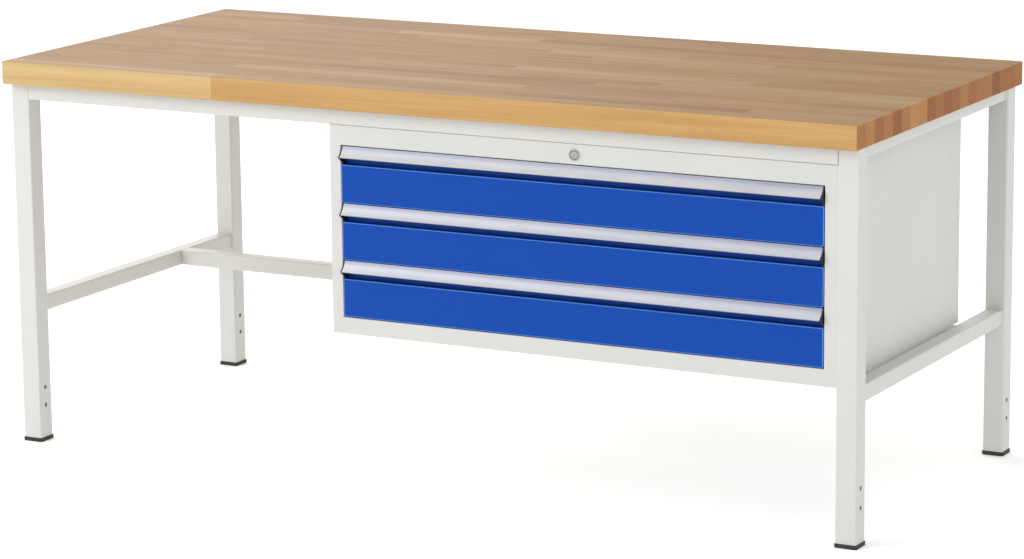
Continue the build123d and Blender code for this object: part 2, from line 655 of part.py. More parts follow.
with BuildPart() as lock_housing:
    with BuildSketch(lock_face):
        Circle(LOCK_ROSETTE_R)
    extrude(amount=ROSETTE_T)
    chamfer(lock_housing.faces().sort_by(Axis.Y)[0].edges(), length=ROSETTE_CHAMFER)
    with BuildSketch(lock_face):
        Circle(LOCK_BODY_R)
    extrude(amount=-LOCK_DEPTH)
    with BuildSketch(lock_face.offset(ROSETTE_T)):
        Circle(LOCK_PLUG_R + LOCK_RUNNING)
    extrude(amount=-(LOCK_DEPTH + ROSETTE_T), mode=Mode.SUBTRACT)
save(lock_housing, "lock_housing")

NUT_AF = 24.0
NUT_T = 4.0
with BuildPart() as lock_nut:
    with BuildSketch(lock_face.offset(-FRONT_SHEET)):
        RegularPolygon(NUT_AF / 2, 6, major_radius=False)
        Circle(LOCK_BODY_R + THREAD_GAP, mode=Mode.SUBTRACT)
    extrude(amount=-NUT_T)
save(lock_nut, "lock_nut")

TAIL_AF = 7.0
KEYWAY_W = 1.6
KEYWAY_H = 8.0
KEYWAY_DEPTH = 20.0
with BuildPart() as lock_plug:
    with BuildSketch(lock_face.offset(PLUG_FACE)):
        Circle(LOCK_PLUG_R)
    extrude(amount=-(PLUG_END + PLUG_FACE))
    with BuildSketch(lock_face.offset(PLUG_FACE)):
        Rectangle(KEYWAY_W, KEYWAY_H)
    extrude(amount=-KEYWAY_DEPTH, mode=Mode.SUBTRACT)
    with BuildSketch(lock_face.offset(-PLUG_END)):
        Rectangle(TAIL_AF, TAIL_AF)
    extrude(amount=-CAM_T)
save(lock_plug, "lock_plug")

CAM_GAP = 0.5
CAM_RIM = 1.2
cam_plane = lock_face.offset(-PLUG_END)
ROD_Y = CAB_FRONT + PLUG_END + CAM_T + CAM_GAP
PIN_L = CAM_GAP + ROD_T + BREAKTHROUGH
half_throw = LOCK_TRAVEL / 2
with BuildPart() as lock_cam:
    with BuildSketch(cam_plane):
        Circle(LOCK_PLUG_R)
        with Locations((-half_throw, -half_throw)):
            Circle(CAM_PIN_R + CAM_RIM)
        Rectangle(TAIL_AF, TAIL_AF, mode=Mode.SUBTRACT)
    extrude(amount=-CAM_T)
    with BuildSketch(cam_plane.offset(-CAM_T)):
        with Locations((-half_throw, -half_throw)):
            Circle(CAM_PIN_R)
    extrude(amount=-PIN_L)
save(lock_cam, "lock_cam")

# The locking bar stands behind the left stile, a full throw clear of the stile's
# return, and the rod ends on its back.
BAR_CLEAR = 0.6
ROD_OVERRUN = 10.0
BAR_X1 = OPEN_X0 - SHEET - LOCK_TRAVEL - BAR_CLEAR
BAR_X0 = BAR_X1 - BAR_W
ROD_X1 = LOCK_X + ROD_OVERRUN
ROD_Z0 = LOCK_Z - half_throw - ROD_H / 2
ROD_SLOT = CAM_PIN_R + CAM_GAP
PIN_DIP = 3.0
PIN_RISE = 1.0
with BuildPart() as lock_rod:
    block(BAR_X0, ROD_X1, ROD_Y, ROD_Y + ROD_T, ROD_Z0, ROD_Z0 + ROD_H)
    pin_x = LOCK_X - half_throw
    pin_z = LOCK_Z - half_throw
    block(pin_x - ROD_SLOT, pin_x + ROD_SLOT, ROD_Y - BREAKTHROUGH, ROD_Y + ROD_T + BREAKTHROUGH,
          pin_z - ROD_SLOT - PIN_DIP, pin_z + ROD_SLOT + PIN_RISE, Mode.SUBTRACT)
save(lock_rod, "lock_rod")

BAR_T = 2.0
BAR_TAIL = 20.0
HOOK_TIP_GAP = 0.5
with BuildPart() as locking_bar:
    block(BAR_X0, BAR_X1, HOOK_Y - BAR_T / 2, HOOK_Y + BAR_T / 2, hook_z[0] - BAR_TAIL, ROD_Z0 + ROD_H)
    block(BAR_X0, BAR_X1, HOOK_Y + BAR_T / 2, ROD_Y, ROD_Z0, ROD_Z0 + ROD_H)
    for z in hook_z:
        block(BAR_X1, OPEN_X0 - HOOK_TIP_GAP, HOOK_Y - BAR_T / 2, HOOK_Y + BAR_T / 2,
              z - HOOK_H / 2, z + HOOK_H / 2)
save(locking_bar, "locking_bar")
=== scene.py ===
import json
import math
import random
import bpy
import bmesh
from mathutils import Matrix, Vector


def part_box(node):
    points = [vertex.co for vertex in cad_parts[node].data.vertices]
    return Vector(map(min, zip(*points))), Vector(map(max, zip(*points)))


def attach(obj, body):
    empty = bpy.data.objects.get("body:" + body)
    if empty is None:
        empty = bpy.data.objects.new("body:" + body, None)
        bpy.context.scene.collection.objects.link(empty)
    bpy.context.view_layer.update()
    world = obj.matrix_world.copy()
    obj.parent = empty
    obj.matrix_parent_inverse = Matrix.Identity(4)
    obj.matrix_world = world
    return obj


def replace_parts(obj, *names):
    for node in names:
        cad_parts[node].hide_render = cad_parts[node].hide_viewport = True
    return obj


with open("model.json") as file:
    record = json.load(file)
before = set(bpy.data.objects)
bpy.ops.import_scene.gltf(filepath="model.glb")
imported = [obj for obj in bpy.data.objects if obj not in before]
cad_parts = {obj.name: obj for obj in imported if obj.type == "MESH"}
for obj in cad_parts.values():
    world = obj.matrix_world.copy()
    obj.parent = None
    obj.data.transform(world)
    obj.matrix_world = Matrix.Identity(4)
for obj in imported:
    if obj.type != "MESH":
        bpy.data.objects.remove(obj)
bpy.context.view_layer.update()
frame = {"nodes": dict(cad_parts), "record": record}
scene = bpy.context.scene
scene.view_settings.view_transform = "Standard"
MM = 0.001
QUARTER = math.pi / 2

# ---------------------------------------------------------------- camera
LENS_MM = 130.95
SENSOR_MM = 36.0
CAMERA_PLACE = (3.7412, -6.9580, 2.0529)
# In radians: the turn to the left, the tilt down and the roll.
CAMERA_TURN = 0.4927
CAMERA_TILT = 0.2097
CAMERA_ROLL = -0.0105


def make_camera():
    """A long lens, a little above the worktop and to the right of the front."""
    data = bpy.data.cameras.new("camera")
    data.lens = LENS_MM
    data.sensor_width = SENSOR_MM
    data.clip_start = 0.1
    data.clip_end = 100.0
    cam = bpy.data.objects.new("camera", data)
    scene.collection.objects.link(cam)
    turn = (
        Matrix.Rotation(CAMERA_TURN, 4, "Z")
        @ Matrix.Rotation(QUARTER - CAMERA_TILT, 4, "X")
        @ Matrix.Rotation(CAMERA_ROLL, 4, "Z")
    )
    cam.matrix_world = Matrix.Translation(CAMERA_PLACE) @ turn
    scene.camera = cam


make_camera()

# ---------------------------------------------------------------- light
# Name, place, what it points at, its two sides and its power in watts.
LIGHTS = (
    ("key", (-3.6, -4.2, 3.6), (-0.3, 0.0, 0.6), (3.0, 2.5), 108),
    ("fill", (4.5, -4.5, 2.2), (0.5, 0.0, 0.4), (3.0, 3.0), 40),
    ("back", (-3.2, 3.4, 3.2), (-0.7, 0.0, 0.8), (3.0, 2.0), 62),
)
# The world's strength runs from the first value, on the left, to the second, on the right.
WORLD_SPAN = (-0.6, 1.0)
WORLD_STRENGTH = (1.12, 0.84)
WHITE = (1.0, 1.0, 1.0, 1.0)


def area_light(name, place, target, size, power):
    data = bpy.data.lights.new(name, "AREA")
    data.shape = "RECTANGLE"
    data.size, data.size_y = size
    data.energy = power
    lamp = bpy.data.objects.new(name, data)
    scene.collection.objects.link(lamp)
    lamp.location = place
    aim = Vector(target) - Vector(place)
    lamp.rotation_mode = "QUATERNION"
    lamp.rotation_quaternion = aim.to_track_quat("-Z", "Y")


def make_world():
    """A white studio, a little dimmer on the cabinet's side."""
    world = bpy.data.worlds.new("studio")
    world.use_nodes = True
    tree = world.node_tree
    where = tree.nodes.new("ShaderNodeTexCoord")
    split_xyz = tree.nodes.new("ShaderNodeSeparateXYZ")
    level = tree.nodes.new("ShaderNodeMapRange")
    tree.links.new(where.outputs["Generated"], split_xyz.inputs[0])
    tree.links.new(split_xyz.outputs[0], level.inputs[0])
    for socket, value in enumerate(WORLD_SPAN + WORLD_STRENGTH, start=1):
        level.inputs[socket].default_value = value
    tree.links.new(level.outputs[0], tree.nodes["Background"].inputs["Strength"])
    tree.nodes["Background"].inputs["Color"].default_value = WHITE
    scene.world = world


for light in LIGHTS:
    area_light(*light)
make_world()


# ---------------------------------------------------------------- node helpers
class Nodes:
    """A short way to write a material's nodes."""

    def __init__(self, name):
        self.material = bpy.data.materials.new(name)
        self.material.use_nodes = True
        self.tree = self.material.node_tree
        self.tree.nodes.clear()
        self.out = self.tree.nodes.new("ShaderNodeOutputMaterial")
        self.shader = self.tree.nodes.new("ShaderNodeBsdfPrincipled")
        self.tree.links.new(self.shader.outputs[0], self.out.inputs["Surface"])

    def put(self, socket, value):
        """A socket is linked, and anything else is set."""
        if isinstance(value, bpy.types.NodeSocket):
            self.tree.links.new(value, socket)
        else:
            socket.default_value = value

    def node(self, kind, ins=None, **props):
        made = self.tree.nodes.new(kind)
        for key, value in props.items():
            setattr(made, key, value)
        for key, value in (ins or {}).items():
            self.put(made.inputs[key], value)
        return made

    def coords(self):
        return self.node("ShaderNodeTexCoord").outputs["Object"]

    def facing(self, axis):
        """How far the surface faces along an axis, from -1 to 1."""
        normal = self.node("ShaderNodeNewGeometry").outputs["Normal"]
        return self.node("ShaderNodeSeparateXYZ", {0: normal}).outputs[axis]

    def mapped(self, vector, scale):
        return self.node("ShaderNodeMapping", {"Vector": vector, "Scale": scale}).outputs[0]

    def noise(self, vector, scale, detail=3.0, rough=0.5, warp=0.0):
        ins = {"Vector": vector, "Scale": scale, "Detail": detail, "Roughness": rough, "Distortion": warp}
        return self.node("ShaderNodeTexNoise", ins).outputs["Fac"]

    def ramp(self, value, stops):
        """stops: (position, colour) pairs."""
        made = self.node("ShaderNodeValToRGB", {"Fac": value})
        band = made.color_ramp
        while len(band.elements) < len(stops):
            band.elements.new(0.5)
        for element, (at, colour) in zip(band.elements, stops):
            element.position = at
            element.color = colour
        return made.outputs["Color"]

    def range(self, value, a, b, c, d):
        """The span from a to b becomes the span from c to d."""
        made = self.node("ShaderNodeMapRange", {"Value": value, 1: a, 2: b, 3: c, 4: d})
        return made.outputs[0]

    def math(self, operation, *values):
        made = self.node("ShaderNodeMath", operation=operation)
        for socket, value in zip(made.inputs, values):
            self.put(socket, value)
        return made.outputs[0]

    def mix(self, fac, a, b, blend="MIX"):
        made = self.node("ShaderNodeMix", data_type="RGBA", blend_type=blend)
        self.put(made.inputs["Factor"], fac)
        self.put(made.inputs[6], a)
        self.put(made.inputs[7], b)
        return made.outputs[2]

    def tinted(self, colour, red, green, blue):
        """A colour multiplied by another."""
        return self.mix(1.0, colour, (red, green, blue, 1.0), "MULTIPLY")

    def bump(self, height, strength, distance=0.4 * MM):
        ins = {"Height": height, "Strength": strength, "Distance": distance}
        return self.node("ShaderNodeBump", ins).outputs[0]

    def set(self, **values):
        for key, value in values.items():
            self.put(self.shader.inputs[key.replace("_", " ")], value)
        return self.material


def rgb(red, green, blue):
    """A screen colour, 0 to 255, as a linear colour with alpha."""
    def linear(v):
        v /= 255.0
        return v / 12.92 if v <= 0.04045 else ((v + 0.055) / 1.055) ** 2.4

    return (linear(red), linear(green), linear(blue), 1.0)


def shaded(colour, red, green, blue):
    """A linear colour with each channel multiplied."""
    return (colour[0] * red, colour[1] * green, colour[2] * blue, 1.0)


# ---------------------------------------------------------------- finishes
def powder_coat(name, colour, rough=0.42, dust=0.12, spec=0.5, bend_highlight=None):
    """Powder coat: fine orange peel, faint patches of tone and a little handling dirt.

    The last argument is a paler colour painted on a front's rounded folds as a highlight, picked out by how
    far they face the front."""
    n = Nodes(name)
    at = n.coords()
    peel = n.noise(at, 900.0, 2.0, 0.6)
    patches = n.noise(at, 5.0, 4.0, 0.55)
    grime = n.noise(n.mapped(at, (1, 1, 0.35)), 16.0, 6.0, 0.65)
    tone = n.mix(n.range(patches, 0.35, 0.65, 0.0, 1.0), shaded(colour, 0.97, 0.97, 0.97), colour)
    # Painted highlight: the rounded folds are mixed towards the paler colour.
    if bend_highlight:
        front = n.math("ABSOLUTE", n.facing(1))
        not_flat = n.range(front, 0.90, 0.98, 1.0, 0.0)
        not_side = n.range(front, 0.1, 0.3, 0.0, 1.0)
        tone = n.mix(n.math("MULTIPLY", not_flat, not_side), tone, bend_highlight)
    tone = n.mix(n.range(grime, 0.58, 0.85, 0.0, dust), tone, shaded(colour, 0.80, 0.77, 0.70))
    return n.set(
        Base_Color=tone,
        Roughness=n.range(n.noise(at, 60.0, 3.0), 0.3, 0.7, rough - 0.05, rough + 0.06),
        Specular_IOR_Level=spec,
        Normal=n.bump(peel, 0.12),
    )


def brushed_metal(name, colour, rough, along, scale, bump=0.06, metal=1.0):
    """Rolled or drawn metal: fine lines across the larger scales of along, cloudy roughness."""
    n = Nodes(name)
    at = n.coords()
    lines = n.noise(n.mapped(at, along), scale, 4.0, 0.6)
    cloud = n.noise(at, 9.0, 4.0, 0.6)
    darker = shaded(colour, 0.86, 0.86, 0.86)
    tone = n.mix(n.range(lines, 0.35, 0.65, 0.0, 1.0), darker, colour)
    tone = n.mix(n.range(cloud, 0.45, 0.75, 0.0, 0.25), tone, darker)
    return n.set(
        Base_Color=tone,
        Metallic=metal,
        Roughness=n.range(cloud, 0.3, 0.7, rough - 0.06, rough + 0.08),
        Normal=n.bump(lines, bump),
    )


def anodised_grip(name, colour, lip_painted_highlight):
    """Satin anodised strip with drawn lines along X, with a painted highlight that makes it paler where its
    lip faces up.
    """
    n = Nodes(name)
    at = n.coords()
    lines = n.noise(n.mapped(at, (1, 60, 60)), 50.0, 4.0, 0.6)
    cloud = n.noise(n.mapped(at, (1, 4, 4)), 7.0, 4.0, 0.6)
    # Painted highlight: faces that point up are mixed towards the paler colour.
    rise = n.math("ADD", n.facing(2), n.range(cloud, 0.3, 0.7, -0.04, 0.04))
    tone = n.mix(n.range(rise, 0.32, 0.74, 0.0, 1.0), colour, lip_painted_highlight)
    darker = n.tinted(tone, 0.88, 0.88, 0.89)
    return n.set(
        Base_Color=n.mix(n.range(lines, 0.4, 0.7, 0.0, 0.6), tone, darker),
        Metallic=0.75,
        Roughness=n.range(cloud, 0.3, 0.7, 0.44, 0.54),
        Normal=n.bump(lines, 0.03),
    )


def moulded_plastic(name, colour, rough):
    """Moulded plastic with a fine spark-eroded grain and scuffs."""
    n = Nodes(name)
    at = n.coords()
    grain = n.noise(at, 1600.0, 2.0, 0.6)
    scuff = n.noise(n.mapped(at, (1, 1, 4)), 45.0, 6.0, 0.7)
    paler = tuple(min(1.0, v * 1.9 + 0.012) for v in colour[:3]) + (1.0,)
    return n.set(
        Base_Color=n.mix(n.range(scuff, 0.55, 0.8, 0.0, 0.45), colour, paler),
        Roughness=n.range(scuff, 0.3, 0.7, rough - 0.06, rough + 0.12),
        Normal=n.bump(grain, 0.15, 0.3 * MM),
    )


BEECH_PALE = rgb(199, 171, 122)
BEECH_MID = rgb(184, 143, 85)
BEECH_DARK = rgb(166, 120, 70)
END_PALE = rgb(196, 146, 84)
END_MID = rgb(158, 101, 52)
END_DARK = rgb(116, 62, 32)


def beech(name):
    """Oiled beech: each stave has its own tone and grain, flecks of ray and dark end grain."""
    n = Nodes(name)
    tone = n.node("ShaderNodeAttribute", attribute_name="tone").outputs["Fac"]
    shift = n.node("ShaderNodeAttribute", attribute_name="shift").outputs["Vector"]
    own = n.node("ShaderNodeVectorMath", {0: n.coords(), 1: shift}, operation="ADD").outputs[0]
    # Long grain, which runs along X.
    band = n.noise(n.mapped(own, (0.9, 26.0, 26.0)), 1.6, 4.0, 0.55, 0.4)
    streak = n.noise(n.mapped(own, (2.2, 150.0, 150.0)), 2.0, 5.0, 0.65, 0.15)
    pores = n.noise(n.mapped(own, (14.0, 900.0, 900.0)), 2.0, 2.0, 0.5)
    ins = {"Vector": n.mapped(own, (95.0, 620.0, 620.0)), "Scale": 1.0}
    fleck = n.node("ShaderNodeTexVoronoi", ins, feature="F1").outputs["Distance"]
    base = n.ramp(tone, [(0.0, BEECH_DARK), (0.5, BEECH_MID), (1.0, BEECH_PALE)])
    deep = n.tinted(base, 0.80, 0.72, 0.66)
    grain = n.mix(n.range(band, 0.38, 0.66, 0.0, 0.75), base, deep)
    grain = n.mix(n.range(streak, 0.45, 0.75, 0.0, 0.55), grain, deep)
    grain = n.mix(n.range(fleck, 0.0, 0.16, 0.35, 0.0), grain, n.tinted(base, 0.66, 0.52, 0.42))
    # Painted shade: the top face is darker than the sides.
    top_painted_shade = n.range(n.facing(2), 0.75, 0.98, 0.0, 1.0)
    grain = n.mix(top_painted_shade, grain, n.tinted(grain, 0.645, 0.615, 0.625))
    # End grain: rings across the ends of the staves.
    rings = n.noise(n.mapped(own, (3.0, 70.0, 260.0)), 2.2, 4.0, 0.6, 0.8)
    end_tone = n.ramp(tone, [(0.0, END_DARK), (0.5, END_MID), (1.0, END_PALE)])
    ends = n.mix(n.range(rings, 0.35, 0.65, 0.0, 1.0), end_tone, n.tinted(end_tone, 0.70, 0.62, 0.56))
    is_end = n.range(n.math("ABSOLUTE", n.facing(0)), 0.75, 0.95, 0.0, 1.0)
    height = n.math("ADD", n.math("MULTIPLY", streak, 0.6), n.math("MULTIPLY", pores, 0.4))
    return n.set(
        Base_Color=n.mix(is_end, grain, ends),
        Roughness=n.range(streak, 0.3, 0.7, 0.52, 0.64),
        Specular_IOR_Level=0.22,
        Normal=n.bump(height, 0.18),
    )


FRAME_GREY = rgb(198, 199, 195)
CABINET_GREY = rgb(197, 197, 193)
BOX_GREY = rgb(188, 190, 187)
DRAWER_BLUE = rgb(1, 66, 157)
# A painted highlight for the drawer fronts' rounded folds.
BLUE_PAINTED_HIGHLIGHT = rgb(88, 136, 224)
EVEN = (1, 1, 1)

finish = {
    "frame_paint": powder_coat("frame_paint", FRAME_GREY),
    "cabinet_paint": powder_coat("cabinet_paint", CABINET_GREY),
    "drawer_blue": powder_coat("drawer_blue", DRAWER_BLUE, 0.38, 0.0, 0.14, BLUE_PAINTED_HIGHLIGHT),
    "drawer_box_paint": powder_coat("drawer_box_paint", BOX_GREY, 0.48),
    "zinc_steel": brushed_metal("zinc_steel", rgb(186, 186, 180), 0.36, EVEN, 90.0),
    "black_steel": brushed_metal("black_steel", rgb(146, 144, 139), 0.5, EVEN, 120.0, metal=0.8),
    "foot_steel": brushed_metal("foot_steel", rgb(46, 46, 47), 0.5, (8, 8, 1), 60.0, metal=0.7),
    "foot_plastic": moulded_plastic("foot_plastic", rgb(34, 34, 36), 0.55),
    "slide_steel": brushed_metal("slide_steel", rgb(176, 178, 178), 0.33, (30, 1, 30), 40.0),
    # The grip's second colour is its painted highlight.
    "grip_aluminium": anodised_grip("grip_aluminium", rgb(124, 127, 147), rgb(214, 215, 218)),
    "grip_cap_plastic": moulded_plastic("grip_cap_plastic", rgb(20, 21, 24), 0.42),
    "lock_chrome": brushed_metal("lock_chrome", rgb(172, 172, 169), 0.24, EVEN, 150.0, 0.03),
    "beech": beech("beech"),
}

for node in frame["nodes"].values():
    for material_slot in node.material_slots:
        key = material_slot.material.name.split(".")[0]
        if key in finish:
            material_slot.material = finish[key]


# ---------------------------------------------------------------- mesh helpers
def add_object(name, mesh, slot_name, body="frame"):
    obj = bpy.data.objects.new(name, mesh)
    scene.collection.objects.link(obj)
    mesh.materials.append(finish[slot_name])
    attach(obj, body)
    return obj


def smooth_piece(bm, name, slot_name, body="frame", sharp=35.0):
    """A piece made of bm, shaded smooth with edges above an angle kept sharp."""
    mesh = bpy.data.meshes.new(name)
    bm.to_mesh(mesh)
    bm.free()
    for poly in mesh.polygons:
        poly.use_smooth = True
    mesh.set_sharp_from_angle(angle=math.radians(sharp))
    return add_object(name, mesh, slot_name, body)


def weighted(obj):
    """Normals that follow the large faces, so that flats stay flat beside small radii."""
    made = obj.modifiers.new("normals", "WEIGHTED_NORMAL")
    made.keep_sharp = True
    return obj


def cut_along(bm, faces, place, normal, dist=1e-6):
    """Divide these faces where a plane crosses them."""
    verts = {v for f in faces for v in f.verts}
    edges = {e for f in faces for e in f.edges}
    geom = list(verts) + list(edges) + list(faces)
    bmesh.ops.bisect_plane(bm, geom=geom, plane_co=place, plane_no=normal, dist=dist)


def loft(rings, closed=True):
    """Faces between rings of points; the last joins the first, or the two ends are capped."""
    bm = bmesh.new()
    loops = [[bm.verts.new(p) for p in ring] for ring in rings]
    pairs = list(zip(loops, loops[1:]))
    if closed:
        pairs.append((loops[-1], loops[0]))
    for a, b in pairs:
        for i in range(len(a)):
            j = (i + 1) % len(a)
            bm.faces.new((a[i], a[j], b[j], b[i]))
    if not closed:
        bm.faces.new(loops[0])
        bm.faces.new(loops[-1])
    bmesh.ops.recalc_face_normals(bm, faces=bm.faces)
    return bm


# ---------------------------------------------------------------- worktop
STAVES = 20
EDGE_R = 2.5 * MM
# The front stave's joint, and the tones of its two lengths.
FRONT_JOINT_X = -0.465
FRONT_TONES = [0.96, 0.60]
# Shortest and longest for a stave's first length and for those after it. The last is cut to fit.
FIRST_LENGTH = (0.15, 0.7)
NEXT_LENGTH = (0.3, 0.8)
# The least that may be left for the last.
LAST_LENGTH = 0.12
TONE_MEAN, TONE_SPREAD = 0.5, 0.17
TINY = 1e-6


def stave_joints(draw, lo, hi):
    """For each stave, where along X its lengths are joined."""
    every = [[FRONT_JOINT_X]]
    for _ in range(1, STAVES):
        joints, x = [], lo.x + draw.uniform(*FIRST_LENGTH)
        while x < hi.x - LAST_LENGTH:
            joints.append(x)
            x += draw.uniform(*NEXT_LENGTH)
        every.append(joints)
    return every


def make_worktop():
    """A solid board glued from staves, each made of two or more lengths."""
    lo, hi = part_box("worktop")
    pitch = (hi.y - lo.y) / STAVES
    draw = random.Random(11)
    bm = bmesh.new()
    bmesh.ops.create_cube(bm, size=1.0)
    for v in bm.verts:
        v.co = Vector([lo[i] + (v.co[i] + 0.5) * (hi[i] - lo[i]) for i in range(3)])
    bmesh.ops.bevel(bm, geom=bm.edges[:], offset=EDGE_R, segments=3, profile=0.5, affect="EDGES")
    for j in range(1, STAVES):
        cut_along(bm, bm.faces[:], (0, lo.y + j * pitch, 0), (0, 1, 0))
    joints = stave_joints(draw, lo, hi)
    for j, row in enumerate(joints):
        y0, y1 = lo.y + j * pitch - TINY, lo.y + (j + 1) * pitch + TINY
        for x in row:
            faces = [f for f in bm.faces if y0 < f.calc_center_median().y < y1]
            cut_along(bm, faces, (x, 0, 0), (1, 0, 0))
    tones = []
    for row in joints:
        tones.append([min(1.0, max(0.0, draw.gauss(TONE_MEAN, TONE_SPREAD))) for _ in range(len(row) + 1)])
    tones[0] = FRONT_TONES
    # Each length is taken from another part of the grain's pattern.
    shifts = [[(draw.uniform(0, 40), draw.uniform(0, 3), draw.uniform(0, 3)) for _ in row] for row in tones]
    mesh = bpy.data.meshes.new("beech_worktop")
    bm.to_mesh(mesh)
    bm.free()
    tone = mesh.attributes.new("tone", "FLOAT", "FACE")
    shift = mesh.attributes.new("shift", "FLOAT_VECTOR", "FACE")
    for poly in mesh.polygons:
        c = poly.center
        j = min(STAVES - 1, max(0, int((c.y - lo.y) / pitch)))
        k = sum(1 for x in joints[j] if c.x > x)
        tone.data[poly.index].value = tones[j][k]
        shift.data[poly.index].vector = shifts[j][k]
    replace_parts(add_object("beech_worktop", mesh, "beech"), "worktop")


make_worktop()

# ---------------------------------------------------------------- rounded copies of CAD nodes
BODIES = frame["record"]["behaviour"]["bodies"]
BODY_OF = {node: body for body, nodes in BODIES.items() for node in nodes}
SLOT_OF = {part["node"]: part["material_slot"] for part in frame["record"]["subparts"]}
FLAT_DEGREES = 0.3
SHARP_DEGREES = 38


def softened(node, width):
    """A copy of a CAD node with its sharp edges rounded, shown in the node's place."""
    bm = bmesh.new()
    bm.from_mesh(frame["nodes"][node].data)
    bmesh.ops.remove_doubles(bm, verts=bm.verts, dist=TINY)
    flat = math.radians(FLAT_DEGREES)
    bmesh.ops.dissolve_limit(bm, angle_limit=flat, verts=bm.verts, edges=bm.edges)
    edges = [
        e for e in bm.edges
        if len(e.link_faces) == 2 and e.calc_face_angle(0.0) > math.radians(SHARP_DEGREES)
    ]
    bmesh.ops.bevel(
        bm, geom=edges, offset=width, segments=2, profile=0.5, affect="EDGES", clamp_overlap=True
    )
    obj = weighted(smooth_piece(bm, node + "_rounded", SLOT_OF[node], BODY_OF[node]))
    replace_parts(obj, node)


DRAWERS = (1, 2, 3)
GRIP_EDGE_R = 0.6 * MM
CAP_EDGE_R = 0.4 * MM
BOX_EDGE_R = 0.4 * MM

for k in DRAWERS:
    softened(f"drawer_grip_{k}", GRIP_EDGE_R)
    softened(f"drawer_grip_caps_{k}", CAP_EDGE_R)
    softened(f"drawer_box_{k}", BOX_EDGE_R)

# ---------------------------------------------------------------- cabinet front frame
BEND_R = 2.2 * MM
BEND_STEPS = 5
OUTER_R = 1.4 * MM
OUTER_STEPS = 3
SHEET = 1.5 * MM
FACE_T = 2.0 * MM
# The slots that the locking hooks pass through, from each drawer front's lower edge.
HOOK_RISE = 68.0 * MM
HOOK_SLOT_H = 14.0 * MM
HOOK_ROOM = 2.0 * MM
HOOK_T = 2.0 * MM


def cut_slot(bm, x_faces, y0, y1, z0, z1):
    """A slot along X through a sheet whose two faces stand at x_faces, with its four walls."""
    def in_sheet(f):
        x = f.calc_center_median().x
        return min(x_faces) - 10 * TINY < x < max(x_faces) + 10 * TINY and abs(f.normal.x) > 0.99

    along_y, along_z = (0, 1, 0), (0, 0, 1)
    for place, normal in (
        ((0, y0, 0), along_y), ((0, y1, 0), along_y), ((0, 0, z0), along_z), ((0, 0, z1), along_z),
    ):
        cut_along(bm, [f for f in bm.faces if in_sheet(f)], place, normal, 0.1 * TINY)
        bm.normal_update()
    inside = []
    for f in bm.faces:
        c = f.calc_center_median()
        if in_sheet(f) and y0 < c.y < y1 and z0 < c.z < z1:
            inside.append(f)
    rim = {e for f in inside for e in f.edges}
    bmesh.ops.delete(bm, geom=inside, context="FACES_ONLY")
    bmesh.ops.bridge_loops(bm, edges=[e for e in rim if e.is_valid and len(e.link_faces) == 1])


def make_front_frame():
    """Stiles, sill and fascia as one folded sheet, bent in round the drawer opening.

    The lock's rosette covers the place of its hole, so the hole isn't cut."""
    stiles, sill, fascia = (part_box(f"cabinet_{part}") for part in ("stiles", "sill", "fascia"))
    front, back = stiles[0].y, stiles[1].y
    inner = (sill[0].x, sill[1].x, sill[1].z, fascia[0].z)
    outer = (stiles[0].x, stiles[1].x, stiles[0].z, stiles[1].z)

    def ring(rect, grow, y):
        x0, x1, z0, z1 = rect[0] - grow, rect[1] + grow, rect[2] - grow, rect[3] + grow
        return [(x0, y, z0), (x1, y, z0), (x1, y, z1), (x0, y, z1)]

    rings = [ring(inner, 0.0, back)]
    for step in range(BEND_STEPS + 1):
        turn = step / BEND_STEPS * QUARTER
        y = front + BEND_R * (1 - math.sin(turn))
        rings.append(ring(inner, BEND_R * (1 - math.cos(turn)), y))
    for step in range(OUTER_STEPS + 1):
        turn = step / OUTER_STEPS * QUARTER
        y = front + OUTER_R * (1 - math.cos(turn))
        rings.append(ring(outer, -OUTER_R * (1 - math.sin(turn)), y))
    rings.append(ring(outer, 0.0, front + FACE_T))
    rings.append(ring(inner, SHEET, front + FACE_T))
    rings.append(ring(inner, SHEET, back))
    bm = loft(rings)
    hook_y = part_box("locking_bar")[0].y
    for k in DRAWERS:
        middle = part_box(f"drawer_front_{k}")[0].z + HOOK_RISE
        cut_slot(
            bm, (inner[0] - SHEET, inner[0]), hook_y - HOOK_ROOM, hook_y + HOOK_T + HOOK_ROOM,
            middle - HOOK_SLOT_H / 2, middle + HOOK_SLOT_H / 2,
        )
    bmesh.ops.recalc_face_normals(bm, faces=bm.faces)
    obj = weighted(smooth_piece(bm, "cabinet_front_frame", "cabinet_paint"))
    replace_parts(obj, "cabinet_stiles", "cabinet_sill", "cabinet_fascia")


make_front_frame()

# ---------------------------------------------------------------- seam at the front right leg
SEAM_ON_STILE = 1.0 * MM
SEAM_ON_LEG = 3.2 * MM
SEAM_DEEP = 6.0 * MM
SEAM_SUNK = 0.25 * MM
SEAM_DIP = 0.5 * MM
SEAM_END = 0.5 * MM
SEAM_STEPS = 6


def make_leg_seam():
    """The painted joint between the cabinet and the front right leg, a shallow hollow."""
    leg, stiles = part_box("leg_front_right"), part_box("cabinet_stiles")
    x0, x1 = stiles[1].x - SEAM_ON_STILE, leg[0].x + SEAM_ON_LEG
    front = leg[0].y
    rings = []
    for z in (stiles[0].z + SEAM_END, stiles[1].z - SEAM_END):
        ring = [(x0, front + SEAM_DEEP, z)]
        for step in range(SEAM_STEPS + 1):
            t = step / SEAM_STEPS
            ring.append((x0 + (x1 - x0) * t, front + SEAM_SUNK + SEAM_DIP * math.sin(math.pi * t), z))
        ring.append((x1, front + SEAM_DEEP, z))
        rings.append(ring)
    smooth_piece(loft(rings, closed=False), "leg_seam", "frame_paint")


make_leg_seam()

# ---------------------------------------------------------------- right wall
SKIRT_DROP = 8.0 * MM
SKIRT_ROOM = 4.0 * MM
WALL_EDGE_R = 0.4 * MM


